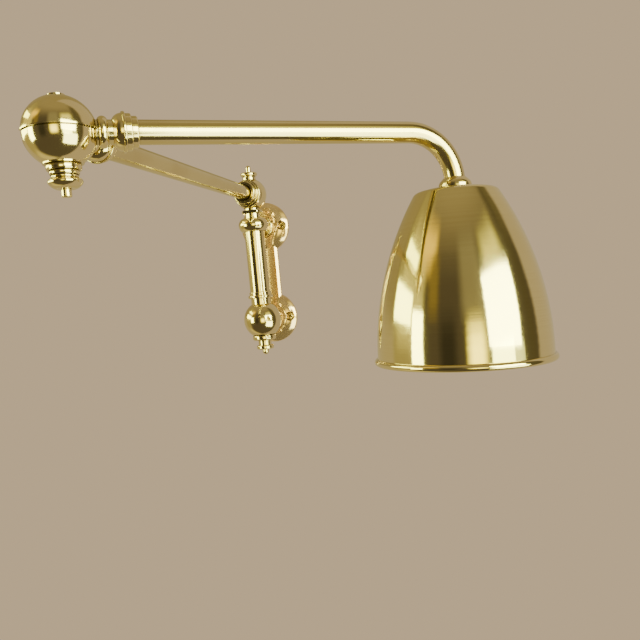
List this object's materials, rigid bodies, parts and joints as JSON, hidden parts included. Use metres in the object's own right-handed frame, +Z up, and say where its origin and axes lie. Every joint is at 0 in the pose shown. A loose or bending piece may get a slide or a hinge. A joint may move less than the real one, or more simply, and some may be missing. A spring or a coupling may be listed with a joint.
{
  "type": "swing arm wall sconce",
  "caption": "Polished brass wall lamp: a dumbbell backplate carries a swivel post, a hinged double arm with a ball joint and a gooseneck that holds a spun bell shade.",
  "frame": {"origin": "on the wall face of the backplate, midway between the two roses", "axes": "+X along the wall to the right, +Y into the wall, +Z up; the lamp stands out towards -Y"},
  "size_m": [0.2599, 0.3176, 0.1703],
  "materials": {
    "polished_brass": "polished",
    "cast_brass": "polished casting",
    "spun_brass": "spun and polished",
    "bush_bronze": "turned bronze",
    "steel": "zinc plated",
    "lamp_nickel": "nickel plated",
    "fibre": "dark fibre",
    "bakelite": "moulded"
  },
  "bodies": {
    "wall_bracket": {"backplate": "cast_brass", "upper_knuckle": "cast_brass", "lower_ball": "polished_brass", "upper_stem_nut": "steel", "lower_stem_nut": "steel", "post_collar": "polished_brass", "post_tube": "polished_brass", "upper_bush": "bush_bronze", "lower_bush": "bush_bronze", "swivel_washer": "polished_brass"},
    "inner_arm": {"wall_elbow": "polished_brass", "socket_collar": "polished_brass", "pivot_spindle": "steel", "top_finial": "polished_brass", "thrust_ring": "polished_brass", "bottom_finial": "polished_brass", "inner_arm_tube": "polished_brass", "inner_arm_collar": "polished_brass", "hinge_eye": "polished_brass"},
    "outer_arm": {"ball_bowl": "polished_brass", "ball_lid": "polished_brass", "upper_friction_washer": "fibre", "lower_friction_washer": "fibre", "hinge_bolt": "polished_brass", "ball_base_ring": "polished_brass", "ball_finial": "polished_brass", "outer_arm_collar": "polished_brass", "outer_arm_tube": "polished_brass", "shade_collar": "polished_brass", "shade": "spun_brass", "shade_washer": "steel", "lock_nut": "steel", "nipple": "steel", "lampholder_cap": "polished_brass", "lampholder_body": "bakelite", "lamp_shell": "lamp_nickel", "centre_contact": "lamp_nickel"}
  },
  "joints": [
    {"name": "wall_swing", "type": "hinge", "parent": "wall_bracket", "child": "inner_arm", "pos_m": [0, -0.0327, 0], "axis": [0, 0, 1], "range_deg": [-90, 90]},
    {"name": "elbow_swing", "type": "hinge", "parent": "inner_arm", "child": "outer_arm", "pos_m": [0, -0.299, 0.0699], "axis": [0, 0, 1], "range_deg": [-120, 6]}
  ]
}
